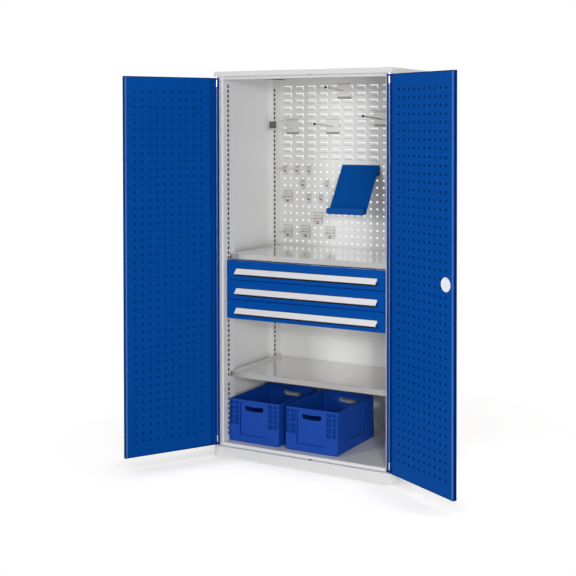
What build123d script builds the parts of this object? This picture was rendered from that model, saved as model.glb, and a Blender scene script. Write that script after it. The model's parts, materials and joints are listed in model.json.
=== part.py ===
from build123d import *
import os
from math import atan2, cos, degrees, hypot, radians, sin, tan

os.makedirs("parts", exist_ok=True)

# Hinged door cabinet, in millimetres, standing on z = 0.
# It is drawn with x along the front from the middle, y back from the front plane and z up.
# Every node is then moved so that the middle of the footprint is the origin.

# Carcass
WIDTH = 1000
DEPTH = 600
HEIGHT = 1950
SHEET = 1.2
PLINTH_HEIGHT = 50
PLINTH_SHEET = 1.5
PLINTH_TOP_FLANGE = 60
PLINTH_FOOT_FLANGE = 30
CAP_HEIGHT = 25
FRAME_SETBACK = 22
FLOOR_TOP = 65
TOP_RAIL_HEIGHT = 16
TOP_RAIL_RETURN = 38
BACK_FACE = 580
BACK_RETURN = 22
BEND = 1.0
MARGIN = 1

# Posts and their slots
FRONT_POST_WIDTH = 40
FRONT_POST_DEPTH = 103
REAR_POST_WIDTH = 32
REAR_POST_DEPTH = 75
SLOT_PITCH = 25
SLOT_WIDTH = 11.5
SLOT_HEIGHT = 13
SLOT_COUNT = 72
FRONT_SLOT_Y = 66
FRONT_SLOT_TOP = 1877.6
REAR_SLOT_Y = 522
REAR_SLOT_TOP = 1869.3

# Channel that stiffens the floor
CHANNEL_WIDTH = 80
CHANNEL_LIP = 15

# Back panels
SHEET_PITCH = 38
HOLE_SIZE = 10
BACK_PANEL_TOP = 1010
PANEL_SEAM = 1489
HOLE_COLUMNS = 24
HOLE_ROWS = 12
HOLE_TOP_ROW = 1462.9
LOUVRE_COLUMNS = 12
LOUVRE_ROWS = 11
LOUVRE_WIDTH = 50
LOUVRE_FIRST_END = -393
LOUVRE_TOP_ROW = 1894
LOUVRE_WINDOW = 22
LOUVRE_SLIT = 5
LOUVRE_STAND = 10
LOUVRE_KNEE = 6
LOUVRE_BEND = 0.3

# Doors: s runs from the hinge axis to the free edge, o runs from the axis towards the inside
HINGE_INSET = 12
HINGE_Y = 6
DOOR_BOTTOM = 58
DOOR_TOP = 1918
DOOR_SHEET = 1.0
DOOR_OUTER = -6
DOOR_INNER = 14
DOOR_FREE_EDGE = 486
DOOR_RIM = 7
HINGE_FLANGE_S = -10
HINGE_FLANGE_O = 9
LEFT_OPEN = 122.4
RIGHT_OPEN = 152.3
DOOR_LIP = 8
DOOR_LIP_END = 34
DOOR_COVER_STEP = 8
PANEL_FOOT_S = 10
PANEL_SLOPE_S = (20, 43)
PANEL_FLAT = 4
DOOR_HOLE_COLUMNS = 10
DOOR_HOLE_ROWS = 46
DOOR_FIRST_COLUMN = 91
DOOR_HOLE_TOP_ROW = 1844.5

# Hinge pins and tubes
PIN_RADIUS = 4
RUNNING = 0.08
PIN_SHOWN = 43
PIN_ENGAGED = 30
PIN_COLLAR_RADIUS = 4.4
PIN_COLLAR = 8
PIN_SHOULDER_RADIUS = 4.6
PIN_SHOULDER = 2
PIN_CLEARANCE = 0.8
AXIAL_PLAY = 0.2

# Lock
LOCK_S = 433
LOCK_Z = 989
ROD_RADIUS = 4
ROD_O = 4
ROD_TRAVEL = 20
THROUGH_PLAY = 1
KEEPER_PLAY = 2
PINION_RADIUS = ROD_TRAVEL / radians(90)
PINION_THICKNESS = 4
RACK_WIDTH = 7
RACK_LENGTH = 55
CRANK_HEIGHT = 10
ROD_CRANK = 31
ROSETTE_RADIUS = 32
ROSETTE_THICKNESS = 2
ESCUTCHEON_RADIUS = 19
ESCUTCHEON_THICKNESS = 3
SPINDLE_SIDE = 8
SHAFT_RADIUS = 7.9
SHAFT_END = 1
SPINDLE_PLAY = 1
KNOB_RADIUS = 13
KNOB_DEPTH = 11
KNOB_RISE = 2
GRIP_WIDTH = 14
GRIP_DEPTH = 13
GRIP_UP = 14
GRIP_DOWN = 26
GUIDE_LEVELS = (1862, 1484, 1100, 876, 496, 116)
GUIDE_WIDTH = 24
GUIDE_HEIGHT = 6

# Shelves
SHELF_HALF_WIDTH = 459
SHELF_HEIGHT = 27
SHELF_RETURN = 15
UPPER_SHELF_FRONT = 77
UPPER_SHELF_BOTTOM = 996
LOWER_SHELF_FRONT = 80
LOWER_SHELF_BOTTOM = 390
LOWER_PLATE_RISE = 9
SHELF_REAR_GAP = 4
CLIP_DROP = 30
CLIP_LEDGE = 20
CLIP_TONGUE = 6

# Drawers
DRAWER_FRONT = 50
DRAWER_HALF_WIDTH = 457
DRAWER_PITCH = 100
DRAWER_FRONT_HEIGHT = 97
DRAWER_TOP = 993
DRAWER_FRONT_DEPTH = 20
DRAWER_REAR = 560
TRAY_HALF_WIDTH = 445
TRAY_RISE = 6
TRAY_HEIGHT = 74
GRIP_HALF_LENGTH = 401
GRIP_FLANGE = 14
GRIP_BELOW_TOP = 41
GRIP_FALL = 25
GRIP_REACH = 22
GRIP_HEM = ((2, -3), (7, -2))
GRIP_SHEET = 1.5
RAIL_RISE = 40
RAIL_HALF_HEIGHT = 22
RAIL_SHEET = 1.5
RAIL_PLAY = 0.2
RAIL_FRONT = 75
CARRIER_BOTTOM = 690
CARRIER_TOP = 961
CARRIER_WING = 15

# Stacking boxes
BOX_CENTRES = {"box_left": -309, "box_right": 28}
BOX_FRONT = 62
BOX_BOTTOM_SIZE = (300, 400)
BOX_TOP_SIZE = (300, 388)
BOX_HEIGHT = 215
BOX_LIFT = 0.2
BOX_WALL = 8
BOX_FLOOR = 5
BOX_CORNER = 10
BOX_FOOT_ROUNDING = 8
POCKET_DEPTH = 5.5
RECESS_TOP = 206
END_RECESS = (-82, 82, 37, RECESS_TOP)
END_POCKETS = ((88, 115), (122, 142))
POCKET_LEVELS = ((86, 136), (142, 184), (190, RECESS_TOP))
SIDE_RECESS = (-116, 60, 52, RECESS_TOP)
SIDE_POCKETS = ((-146, -124), (68, 94), (102, 124), (132, 156))
CORNER_NOTCH = (3, 18)
HAND_HOLE = (110, 27)
HAND_HOLE_DROP = 42.5
HAND_HOLE_SAG = 4
HAND_HOLE_RADII = (13, 60, 13, 6, 60, 6)

# Holders on the louvres: left edge, right edge, lower edge, upper edge
HOLDER_PLATES = {
    "upper": (-102, -21, 1822, 1900),
    "middle": (-170, -93, 1633, 1710),
    "right": (120, 200, 1674, 1748),
}
PIN_TIPS = {"upper": (371, 1877), "middle": (378, 1685.5), "right": (365, 1726)}
PIN_RODS = {"upper": 1.75, "middle": 1.75, "right": 3}
TIP_RADIUS = 7
CLAMP_PLATE = (-420, -343, 1631, 1710)
CLAMP_PAD = (41, 37, 4)
CLAMP_PAD_PLACE = (-381, 364, 1680.6)
CLAMP_ARM_RADIUS = 2.5
CLAMP_SPREAD = (24, 22, 13.5)
HOLDER_SHEET = 1.5
HOLDER_FOOT = 9
FOOT_GAP = 0.3
STRAP_WIDTH = 8
STRAP_REACH = 7
STRAP_ROOM = 10

# Holders on the perforated panel: hole column and upper hole row
LONG_HOOKS = ((0, 0), (2, 0), (4, 0))
SHORT_HOOKS = ((3, 2), (7, 2), (4, 4), (6, 4))
WIDE_HOLDERS = ((0, 4), (5, 7), (0, 9), (3, 9), (7, 9))
LONG_REACH = 82
SHORT_REACH = 37
WIDE_REACH = 50
HOOK_PLATE = (24, 47, 2.5)
HOOK_ROD_RADIUS = 2.5
HOOK_RISE = 15
HOOK_CLIP_RISE = 3
WIDE_PLATE = (57, 62, 2.5)
WIDE_DROP = 16
WIDE_BARS = (2, 18, 32)
WIDE_BAR_RADIUS = 3
WIDE_TIP_SHIFT = -8
WIDE_TIP_RISE = 12
WIDE_CLIP_DROP = 9
PEG = 8
PEG_LENGTH = 6
LOCK_CLIP = (12, 9, 4)

# Document tray
TRAY_LEFT = -72
TRAY_RIGHT = 148
TRAY_TOP = 1468
TRAY_SHEET = 1.5
TRAY_STAND = 6
TRAY_FOLD = 22
TRAY_LOW = (420, 1222)
TRAY_LIP_Y = 397
TRAY_LEDGE_FALL = 6
TRAY_LIP_TOP = 1250
TRAY_EAR = 56.3
TRAY_BEND = 0.5
TRAY_LIP_BEND = 5
TRAY_CORNER = 12
TRAY_PEG_COLUMNS = (10, 15)


def rounded_face(points, radii):
    """Flat face inside a closed outline whose corners may be rounded."""
    starts, middles, ends = [], [], []
    for i, (x, y) in enumerate(points):
        before = points[i - 1]
        after = points[(i + 1) % len(points)]
        if radii[i] <= 0:
            starts.append((x, y))
            middles.append(None)
            ends.append((x, y))
            continue
        u = Vector(before[0] - x, before[1] - y).normalized()
        v = Vector(after[0] - x, after[1] - y).normalized()
        half = u.get_angle(v) / 2
        run = radii[i] / tan(radians(half))
        axis = (u + v).normalized()
        centre = Vector(x, y) + axis * (radii[i] / sin(radians(half)))
        starts.append((x + u.X * run, y + u.Y * run))
        middle = centre - axis * radii[i]
        middles.append((middle.X, middle.Y))
        ends.append((x + v.X * run, y + v.Y * run))
    edges = []
    for i in range(len(points)):
        if middles[i]:
            edges.append(Edge.make_three_point_arc(starts[i], middles[i], ends[i]))
        follow = starts[(i + 1) % len(points)]
        if hypot(follow[0] - ends[i][0], follow[1] - ends[i][1]) > 1e-6:
            edges.append(Edge.make_line(ends[i], follow))
    return Face(Wire(edges))


def polygon(points):
    """Flat face with sharp corners."""
    return rounded_face(points, [0] * len(points))


def folded(path, thickness, bend=BEND):
    """Section of a folded sheet: the path is one skin, the sheet lies to its left."""
    bends = bend if isinstance(bend, list) else [bend] * len(path)
    normals = []
    for (x0, y0), (x1, y1) in zip(path, path[1:]):
        length = hypot(x1 - x0, y1 - y0)
        normals.append(((y0 - y1) / length, (x1 - x0) / length))
    other, near, far = [], [], []
    for i, (x, y) in enumerate(path):
        first = normals[max(i - 1, 0)]
        second = normals[min(i, len(normals) - 1)]
        mitre = 1 + first[0] * second[0] + first[1] * second[1]
        other.append((x + thickness * (first[0] + second[0]) / mitre,
                      y + thickness * (first[1] + second[1]) / mitre))
        turn = first[0] * second[1] - first[1] * second[0]
        inside = abs(thickness) if turn * thickness < 0 else 0
        outside = abs(thickness) if turn * thickness > 0 else 0
        rounded = bends[i] if abs(turn) > 1e-9 else 0
        near.append(rounded + outside if rounded else 0)
        far.append(rounded + inside if rounded else 0)
    return rounded_face(path + other[::-1], near + far[::-1])


def upwards(face, z0, z1):
    """Pull a face drawn in x and y from z0 up to z1."""
    return extrude(Pos(0, 0, z0) * face, amount=z1 - z0, dir=(0, 0, 1))


def along_x(face, x0, x1):
    """Pull a face drawn in y and z from x0 to x1."""
    plane = Plane(origin=(x0, 0, 0), x_dir=(0, 1, 0), z_dir=(1, 0, 0))
    return extrude(plane * face, amount=x1 - x0, dir=(1, 0, 0))


def along_y(face, y0, y1):
    """Pull a face drawn in x and z from y0 to y1."""
    plane = Plane(origin=(0, y0, 0), x_dir=(1, 0, 0), z_dir=(0, -1, 0))
    return extrude(plane * face, amount=y1 - y0, dir=(0, 1, 0))


def block(x0, x1, y0, y1, z0, z1):
    """Block between two corners."""
    centre = Pos((x0 + x1) / 2, (y0 + y1) / 2, (z0 + z1) / 2)
    return centre * Box(abs(x1 - x0), abs(y1 - y0), abs(z1 - z0))


def rod(start, end, radius):
    """Round bar between two points."""
    axis = Vector(*end) - Vector(*start)
    return Solid.make_cylinder(radius, axis.length, Plane(origin=start, z_dir=axis))


def rectangle(x0, x1, y0, y1):
    """Corner points of a rectangle."""
    return [(x0, y0), (x1, y0), (x1, y1), (x0, y1)]


def pierced(points, windows):
    """Flat face with rectangular windows, each given as x0, x1, y0, y1."""
    outer = Wire.make_polygon([Vector(*p) for p in points], close=True)
    inner = [Wire.make_polygon([Vector(*p) for p in rectangle(*w)], close=True) for w in windows]
    return Face(outer, inner)


def hole_grid(first_column, top_row, columns, rows):
    """Square windows at the common pitch."""
    half = HOLE_SIZE / 2
    centres = [(first_column + SHEET_PITCH * c, top_row - SHEET_PITCH * r)
               for c in range(columns) for r in range(rows)]
    return [(x - half, x + half, z - half, z + half) for x, z in centres]


def both_sides(shape):
    """A shape and its mirror image on the other side of the cabinet."""
    return [mirror(shape, about=Plane.YZ), shape]


def save(node, *pieces):
    """Write one node, moved to the shared frame."""
    solids = [solid for piece in pieces for solid in (Pos(0, -DEPTH / 2, 0) * piece).solids()]
    export_step(solids[0] if len(solids) == 1 else Compound(solids), f"parts/{node}.step")


half_width = WIDTH / 2
side_inner = half_width - SHEET
cap_bottom = HEIGHT - CAP_HEIGHT
front_post_x = half_width - FRONT_POST_WIDTH
rear_post_x = half_width - REAR_POST_WIDTH
front_post_back = FRAME_SETBACK + FRONT_POST_DEPTH
rear_post_front = BACK_FACE - REAR_POST_DEPTH
hinge_x = half_width - HINGE_INSET
rod_x = hinge_x - LOCK_S
rod_y = HINGE_Y + ROD_O

# Side panels, folded in at the back
side_path = [(half_width, FRAME_SETBACK), (half_width, DEPTH), (half_width - BACK_RETURN, DEPTH)]
side_panel = upwards(folded(side_path, SHEET), PLINTH_HEIGHT, cap_bottom)
for side, panel in zip(("left", "right"), both_sides(side_panel)):
    save(f"side_panel_{side}", panel)


def slotted_post(path, slot_x, slot_y, slot_top):
    """Folded post with its column of slots in the face at slot_x."""
    post = upwards(folded(path, SHEET), PLINTH_HEIGHT, cap_bottom)
    half = SLOT_WIDTH / 2
    slots = []
    for i in range(SLOT_COUNT):
        z = slot_top - SLOT_PITCH * i
        slots.append(block(slot_x - SHEET, slot_x + 2 * SHEET, slot_y - half, slot_y + half,
                           z - SLOT_HEIGHT / 2, z + SLOT_HEIGHT / 2))
    return post - slots


front_post_path = [
    (side_inner, front_post_back),
    (front_post_x, front_post_back),
    (front_post_x, FRAME_SETBACK),
    (side_inner, FRAME_SETBACK),
]
rear_post_path = [
    (side_inner, BACK_FACE),
    (rear_post_x, BACK_FACE),
    (rear_post_x, rear_post_front),
    (side_inner, rear_post_front),
]
front_post = slotted_post(front_post_path, front_post_x, FRONT_SLOT_Y, FRONT_SLOT_TOP)
rear_post = slotted_post(rear_post_path, rear_post_x, REAR_SLOT_Y, REAR_SLOT_TOP)
for side, front, rear in zip(("left", "right"), both_sides(front_post), both_sides(rear_post)):
    save(f"front_post_{side}", front)
    save(f"rear_post_{side}", rear)


def hollow_frame(z0, z1, sheet, flange_z, flange_width):
    """Closed wall band round the footprint with one inward flange."""
    band = block(-half_width, half_width, 0, DEPTH, z0, z1)
    band -= block(-half_width + sheet, half_width - sheet, sheet, DEPTH - sheet, z0, z1)
    flange = block(-half_width, half_width, 0, DEPTH, flange_z, flange_z + sheet)
    flange -= block(-half_width + flange_width, half_width - flange_width,
                    flange_width, DEPTH - flange_width, flange_z, flange_z + sheet)
    return band + flange


def keeper_holes(z0, z1):
    """Holes for the two hinge pins and for the lock rod, as in cap and plinth."""
    holes = [rod((x, HINGE_Y, z0), (x, HINGE_Y, z1), PIN_RADIUS) for x in (-hinge_x, hinge_x)]
    keeper = ROD_RADIUS + KEEPER_PLAY
    holes.append(block(rod_x - keeper, rod_x + keeper, rod_y - keeper, rod_y + keeper, z0, z1))
    return holes


# Top cap with its roof, its flange over the doors and the rail behind them
cap = hollow_frame(cap_bottom, HEIGHT, SHEET, cap_bottom, PLINTH_TOP_FLANGE)
cap += block(-half_width, half_width, 0, DEPTH, HEIGHT - SHEET, HEIGHT)
cap -= keeper_holes(cap_bottom - MARGIN, cap_bottom + 2 * SHEET)
cap_inner = half_width - PLINTH_TOP_FLANGE
cap -= block(-cap_inner, cap_inner, DEPTH - PLINTH_TOP_FLANGE, BACK_FACE + SHEET,
             cap_bottom, cap_bottom + SHEET)
save("top_cap", cap)
rail_bottom = cap_bottom - TOP_RAIL_HEIGHT
rail_path = [
    (FRAME_SETBACK + TOP_RAIL_RETURN, rail_bottom + SHEET),
    (FRAME_SETBACK + SHEET, rail_bottom + SHEET),
    (FRAME_SETBACK + SHEET, cap_bottom),
]
save("top_rail", along_x(folded(rail_path, SHEET), -front_post_x, front_post_x))

# Plinth with a ledge on top and a narrow foot flange
plinth = hollow_frame(0, PLINTH_HEIGHT, PLINTH_SHEET, PLINTH_HEIGHT - PLINTH_SHEET, PLINTH_TOP_FLANGE)
plinth += hollow_frame(0, PLINTH_HEIGHT, PLINTH_SHEET, 0, PLINTH_FOOT_FLANGE)
plinth -= keeper_holes(PLINTH_HEIGHT - 2 * PLINTH_SHEET, PLINTH_HEIGHT + MARGIN)
save("base_plinth", plinth)

# Floor plate round the posts with its front rail, and the channel below it
floor_half = [
    (front_post_x, FRAME_SETBACK),
    (front_post_x, front_post_back),
    (side_inner, front_post_back),
    (side_inner, rear_post_front),
    (rear_post_x, rear_post_front),
    (rear_post_x, BACK_FACE),
]
floor_outline = floor_half + [(-x, y) for x, y in reversed(floor_half)]
floor_plate = upwards(polygon(floor_outline), FLOOR_TOP - SHEET, FLOOR_TOP)
floor_plate += block(-front_post_x, front_post_x, FRAME_SETBACK, FRAME_SETBACK + SHEET,
                     PLINTH_HEIGHT, FLOOR_TOP)
save("floor_plate", floor_plate)
channel_top = FLOOR_TOP - SHEET
channel_half = CHANNEL_WIDTH / 2
channel_path = [
    (-channel_half - CHANNEL_LIP, channel_top - PLINTH_SHEET),
    (-channel_half, channel_top - PLINTH_SHEET),
    (-channel_half, 0),
    (channel_half, 0),
    (channel_half, channel_top - PLINTH_SHEET),
    (channel_half + CHANNEL_LIP, channel_top - PLINTH_SHEET),
]
save("base_channel", along_y(folded(channel_path, PLINTH_SHEET),
                             PLINTH_TOP_FLANGE, DEPTH - PLINTH_TOP_FLANGE))

# Back panels
save("back_panel", block(-side_inner, side_inner, BACK_FACE, BACK_FACE + SHEET,
                         PLINTH_HEIGHT, BACK_PANEL_TOP))
first_hole = -SHEET_PITCH * (HOLE_COLUMNS - 1) / 2
back_holes = hole_grid(first_hole, HOLE_TOP_ROW, HOLE_COLUMNS, HOLE_ROWS)
perforated = pierced(rectangle(-side_inner, side_inner, BACK_PANEL_TOP, PANEL_SEAM), back_holes)
save("perforated_panel", along_y(perforated, BACK_FACE, BACK_FACE + SHEET))

louvre_places = [(LOUVRE_FIRST_END + 2 * SHEET_PITCH * c, LOUVRE_TOP_ROW - SHEET_PITCH * r)
                 for c in range(LOUVRE_COLUMNS) for r in range(LOUVRE_ROWS)]
windows = [(x - LOUVRE_WIDTH, x, z - LOUVRE_WINDOW, z) for x, z in louvre_places]
louvre_sheet = pierced(rectangle(-side_inner, side_inner, PANEL_SEAM, cap_bottom), windows)
tongue_rise = LOUVRE_WINDOW - LOUVRE_SLIT
tongue_back = BACK_FACE + SHEET - LOUVRE_STAND
tongue_path = [
    (BACK_FACE + SHEET, -MARGIN),
    (BACK_FACE + SHEET, 0),
    (tongue_back, LOUVRE_KNEE),
    (tongue_back, tongue_rise),
]
tongue = along_x(folded(tongue_path, SHEET, LOUVRE_BEND), 0, LOUVRE_WIDTH)
tongues = [Pos(x - LOUVRE_WIDTH, 0, z - LOUVRE_WINDOW) * tongue for x, z in louvre_places]
louvre_panel = along_y(louvre_sheet, BACK_FACE, BACK_FACE + SHEET) + tongues
# The panel reaches up inside the cap to its roof
louvre_panel += block(-cap_inner, cap_inner, BACK_FACE, BACK_FACE + SHEET, cap_bottom, HEIGHT - SHEET)
save("louvre_panel", louvre_panel)


def shelf(front, bottom, facing):
    """Shelf with folded edges; facing 1 has its plate on top, -1 is a tray with a low rear edge."""
    top = bottom + SHELF_HEIGHT
    plate_z = top - SHEET if facing > 0 else bottom + LOWER_PLATE_RISE
    rim_z = bottom if facing > 0 else top - SHEET
    rear = BACK_FACE - SHELF_REAR_GAP
    x = SHELF_HALF_WIDTH
    body = block(-x, x, front, rear, bottom, top)
    body -= block(-x + SHEET, x - SHEET, front + SHEET, rear - SHEET, bottom, top)
    if facing < 0:
        body -= block(-x, x, rear - SHEET, rear, plate_z + SHEET, top)
    body += block(-x, x, front, rear, plate_z, plate_z + SHEET)
    body += block(-x, x, front, front + SHELF_RETURN, rim_z, rim_z + SHEET)
    return body + block(-x, x, rear - SHELF_RETURN, rear, bottom, bottom + SHEET)


save("upper_shelf", shelf(UPPER_SHELF_FRONT, UPPER_SHELF_BOTTOM, 1))
save("lower_shelf", shelf(LOWER_SHELF_FRONT, LOWER_SHELF_BOTTOM, -1))


def shelf_clip(post_x, slot_y, slot_top, level):
    """Clip on a post: a tongue through one slot and a ledge under the shelf."""
    steps = round((slot_top - (level - CLIP_DROP / 2 - SHEET)) / SLOT_PITCH)
    slot_z = slot_top - SLOT_PITCH * steps
    inner = post_x - SHEET
    half = SLOT_WIDTH / 2 - 1
    ledge_x = SHELF_HALF_WIDTH - CLIP_LEDGE
    clip = block(inner, post_x, slot_y - half, slot_y + CLIP_DROP, level - CLIP_DROP, level)
    clip += block(ledge_x, post_x, slot_y + SLOT_WIDTH, slot_y + CLIP_DROP, level - SHEET, level)
    return clip + block(post_x, post_x + CLIP_TONGUE, slot_y - half, slot_y + half,
                        slot_z - SLOT_HEIGHT / 4, slot_z + SLOT_HEIGHT / 4)


clips = []
for level in (UPPER_SHELF_BOTTOM, LOWER_SHELF_BOTTOM):
    clips += both_sides(shelf_clip(front_post_x, FRONT_SLOT_Y, FRONT_SLOT_TOP, level))
    clips += both_sides(shelf_clip(rear_post_x, REAR_SLOT_Y, REAR_SLOT_TOP, level))
save("shelf_clips", *clips)


# Hinge pins, fixed in cap and plinth, on which the door tubes turn
def hinge_pin(x, inner_end, outer_end, sheet_face):
    """One pin with the collar that holds it behind the sheet."""
    pin = rod((x, HINGE_Y, inner_end), (x, HINGE_Y, outer_end), PIN_RADIUS)
    direction = 1 if outer_end > inner_end else -1
    collar_end = sheet_face + direction * PIN_COLLAR
    return pin + rod((x, HINGE_Y, sheet_face), (x, HINGE_Y, collar_end), PIN_COLLAR_RADIUS)


tube_bottom = DOOR_BOTTOM + PIN_SHOWN
tube_top = DOOR_TOP - PIN_SHOWN
plinth_ledge_under = PLINTH_HEIGHT - PLINTH_SHEET
shoulder_top = tube_bottom - AXIAL_PLAY
pins = []
for x in (-hinge_x, hinge_x):
    pins.append(hinge_pin(x, tube_top - PIN_ENGAGED, cap_bottom + SHEET + PIN_COLLAR, cap_bottom + SHEET))
    lower = hinge_pin(x, tube_bottom + PIN_ENGAGED, plinth_ledge_under - PIN_COLLAR, plinth_ledge_under)
    lower += rod((x, HINGE_Y, shoulder_top - PIN_SHOULDER), (x, HINGE_Y, shoulder_top),
                 PIN_SHOULDER_RADIUS)
    pins.append(lower)
save("hinge_pins", *pins)


# Door leaves, drawn closed as a left door with the hinge axis at the origin
skin_inner = DOOR_OUTER + DOOR_SHEET
panel_under = DOOR_INNER - DOOR_SHEET
panel_end = DOOR_FREE_EDGE - DOOR_RIM - DOOR_SHEET


def place_door(shape, side):
    """Swing a closed leaf to the angle at which it stands open."""
    if side == "left":
        return Pos(-hinge_x, HINGE_Y, 0) * Rot(0, 0, -LEFT_OPEN) * shape
    return Pos(hinge_x, HINGE_Y, 0) * Rot(0, 0, RIGHT_OPEN) * mirror(shape, about=Plane.YZ)


def door_skin(has_lock):
    """Outer skin with hinge flange, free edge and the plates that close its ends."""
    hinge_flange = [(HINGE_FLANGE_S, HINGE_FLANGE_O), (HINGE_FLANGE_S, DOOR_OUTER)]
    free_edge = [(DOOR_FREE_EDGE, DOOR_OUTER), (DOOR_FREE_EDGE, DOOR_INNER), (panel_end, DOOR_INNER)]
    skin = upwards(folded(hinge_flange + free_edge, DOOR_SHEET, BEND), DOOR_BOTTOM, DOOR_TOP)
    start = HINGE_FLANGE_S + DOOR_SHEET
    end = DOOR_FREE_EDGE - DOOR_SHEET
    slope_end = PANEL_SLOPE_S[1]
    cover = polygon([(start, skin_inner), (end, skin_inner), (end, panel_under), (slope_end, panel_under),
                     (slope_end - DOOR_COVER_STEP, HINGE_FLANGE_O), (start, HINGE_FLANGE_O)])
    for z0, lip_z in ((DOOR_BOTTOM, DOOR_BOTTOM), (DOOR_TOP - DOOR_SHEET, DOOR_TOP - DOOR_LIP)):
        skin += upwards(cover, z0, z0 + DOOR_SHEET)
        skin += block(start, DOOR_LIP_END, HINGE_FLANGE_O - DOOR_SHEET, HINGE_FLANGE_O,
                      lip_z, lip_z + DOOR_LIP)
    below = DOOR_BOTTOM - MARGIN
    above = DOOR_TOP + MARGIN
    skin -= rod((0, 0, below), (0, 0, above), PIN_RADIUS + PIN_CLEARANCE)
    if has_lock:
        skin -= rod((LOCK_S, ROD_O, below), (LOCK_S, ROD_O, above), ROD_RADIUS + THROUGH_PLAY)
        skin -= rod((LOCK_S, DOOR_OUTER - MARGIN, LOCK_Z), (LOCK_S, skin_inner + MARGIN, LOCK_Z),
                    SHAFT_RADIUS + THROUGH_PLAY)
    return skin


def door_inner_panel(has_lock):
    """Perforated inner panel that slopes down to the skin beside the hinge."""
    z0 = DOOR_BOTTOM + DOOR_SHEET
    z1 = DOOR_TOP - DOOR_SHEET
    flat_start = PANEL_SLOPE_S[1] + PANEL_FLAT
    edge_path = [(PANEL_FOOT_S, skin_inner), (PANEL_SLOPE_S[0], skin_inner),
                 (PANEL_SLOPE_S[1], panel_under), (flat_start, panel_under)]
    edge = upwards(folded(edge_path, DOOR_SHEET, BEND), z0, z1)
    holes = hole_grid(DOOR_FIRST_COLUMN, DOOR_HOLE_TOP_ROW, DOOR_HOLE_COLUMNS, DOOR_HOLE_ROWS)
    sheet = pierced(rectangle(flat_start, panel_end, z0, z1), holes)
    panel = along_y(sheet, panel_under, DOOR_INNER) + edge
    if has_lock:
        panel -= rod((LOCK_S, panel_under - MARGIN, LOCK_Z), (LOCK_S, DOOR_INNER + MARGIN, LOCK_Z),
                     SHAFT_RADIUS + THROUGH_PLAY)
    return panel


def hinge_tube():
    """Tube along the hinge edge with the foot by which it is welded to the skin."""
    start = (0, 0, tube_bottom)
    end = (0, 0, tube_top)
    foot = PIN_RADIUS / 2
    tube = rod(start, end, -skin_inner) + block(-foot, foot, skin_inner, 0, tube_bottom, tube_top)
    return tube - rod(start, end, PIN_RADIUS + RUNNING)


for side in ("left", "right"):
    locked = side == "right"
    save(f"door_{side}_skin", place_door(door_skin(locked), side))
    save(f"door_{side}_inner_panel", place_door(door_inner_panel(locked), side))
    save(f"door_{side}_hinge_tube", place_door(hinge_tube(), side))


def save_in_door(node, *pieces):
    """Write a node that belongs to the right door."""
    save(node, *[place_door(piece, "right") for piece in pieces])


# Lock of the right door: covers, turn handle with pinion, and the two rods beside the pinion
rosette = rod((LOCK_S, DOOR_INNER, LOCK_Z), (LOCK_S, DOOR_INNER + ROSETTE_THICKNESS, LOCK_Z), ROSETTE_RADIUS)
rosette = fillet(rosette.edges().group_by(Axis.Y)[-1], ROSETTE_THICKNESS / 2)
save_in_door("lock_rosette", rosette)
plate_front = DOOR_OUTER - ESCUTCHEON_THICKNESS
escutcheon = rod((LOCK_S, DOOR_OUTER, LOCK_Z), (LOCK_S, plate_front, LOCK_Z), ESCUTCHEON_RADIUS)
escutcheon = fillet(escutcheon.edges().group_by(Axis.Y)[0], ESCUTCHEON_THICKNESS / 3)
bearing = SHAFT_RADIUS + RUNNING
escutcheon -= rod((LOCK_S, DOOR_OUTER, LOCK_Z), (LOCK_S, plate_front, LOCK_Z), bearing)
save_in_door("lock_escutcheon", escutcheon)

knob_back = plate_front - AXIAL_PLAY
knob_front = knob_back - KNOB_DEPTH
grip = block(LOCK_S - GRIP_WIDTH / 2, LOCK_S + GRIP_WIDTH / 2, knob_front - GRIP_DEPTH, knob_front,
             LOCK_Z - GRIP_DOWN, LOCK_Z + GRIP_UP)
grip = fillet(grip.edges().filter_by(Axis.Y, reverse=True), GRIP_WIDTH / 4)
handle = rod((LOCK_S, knob_back, LOCK_Z), (LOCK_S, knob_front - KNOB_RISE, LOCK_Z), KNOB_RADIUS) + grip
handle += rod((LOCK_S, knob_back, LOCK_Z), (LOCK_S, skin_inner + SHAFT_END, LOCK_Z), SHAFT_RADIUS)
spindle = SPINDLE_SIDE / 2
handle += block(LOCK_S - spindle, LOCK_S + spindle, skin_inner, panel_under - SPINDLE_PLAY,
                LOCK_Z - spindle, LOCK_Z + spindle)
save_in_door("lock_handle", handle)
pinion_o = ROD_O - PINION_THICKNESS / 2
pinion = rod((LOCK_S, pinion_o, LOCK_Z), (LOCK_S, pinion_o + PINION_THICKNESS, LOCK_Z), PINION_RADIUS)
pinion -= block(LOCK_S - spindle, LOCK_S + spindle, pinion_o, pinion_o + PINION_THICKNESS,
                LOCK_Z - spindle, LOCK_Z + spindle)
save_in_door("lock_pinion", pinion)


def lock_rod(direction):
    """Rod to the top (1) or bottom (-1) edge, cranked to a rack beside the pinion."""
    near = LOCK_S + direction * (PINION_RADIUS + RUNNING)
    far = near + direction * RACK_WIDTH
    rack_start = LOCK_Z - direction * (RACK_LENGTH / 2 - ROD_CRANK / 2)
    crank = LOCK_Z + direction * ROD_CRANK
    crank_end = crank + direction * CRANK_HEIGHT
    o0 = pinion_o
    o1 = pinion_o + PINION_THICKNESS
    end = (DOOR_TOP if direction > 0 else DOOR_BOTTOM) - direction * DOOR_SHEET
    body = block(near, far, o0, o1, rack_start, crank_end)
    body += block(LOCK_S, far, o0, o1, crank, crank_end)
    return body + rod((LOCK_S, ROD_O, crank), (LOCK_S, ROD_O, end), ROD_RADIUS)


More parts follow.
